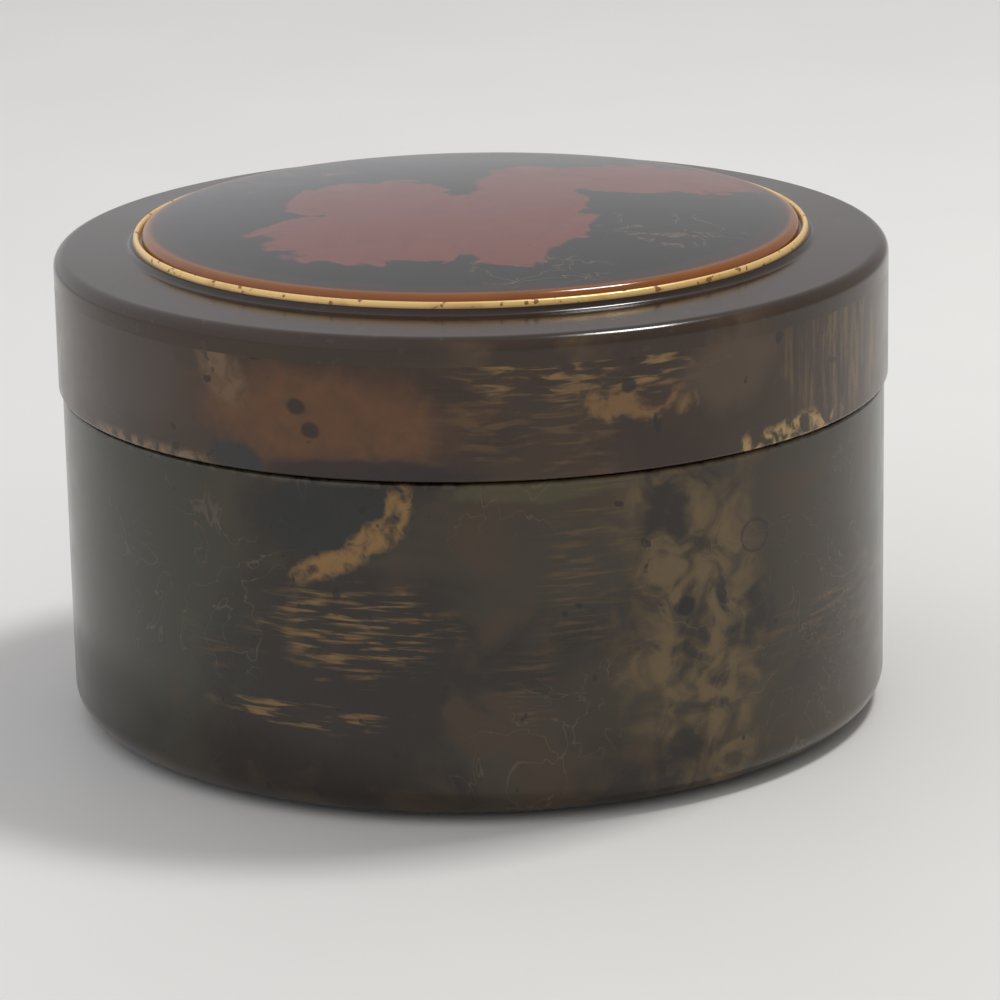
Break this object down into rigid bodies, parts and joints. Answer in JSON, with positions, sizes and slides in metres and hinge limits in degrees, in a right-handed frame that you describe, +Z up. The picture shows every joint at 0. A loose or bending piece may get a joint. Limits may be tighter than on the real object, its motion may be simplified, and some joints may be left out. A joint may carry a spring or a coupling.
{
  "type": "round lacquered trinket box",
  "caption": "Round lacquered box with a standing inner collar and a lift-off lid with a stepped, domed top and a gilded bead.",
  "frame": {"origin": "centre of the foot ring's underside", "axes": "+Z up along the axis that every piece is turned about; the picture looks along +Y"},
  "size_m": [0.11, 0.11, 0.0677],
  "materials": {
    "brown_lacquer": "gloss brown lacquer over gold leaf brushwork",
    "dark_lacquer": "gloss dark lacquer",
    "panel_lacquer": "gloss black lacquer with brick-red variegation",
    "inside_lacquer": "satin black lacquer",
    "gilding": "worn gilding"
  },
  "bodies": {
    "case": {"foot_ring": "dark_lacquer", "floor_board": "inside_lacquer", "case_hoop": "brown_lacquer", "inner_collar": "inside_lacquer"},
    "lid": {"lid_hoop": "brown_lacquer", "lid_top": "dark_lacquer", "domed_panel": "panel_lacquer", "gilt_rim": "gilding"}
  },
  "joints": [
    {"name": "lid_lift", "type": "slide", "parent": "case", "child": "lid", "axis": [0, 0, 1], "range_m": [0, 0.04]}
  ]
}
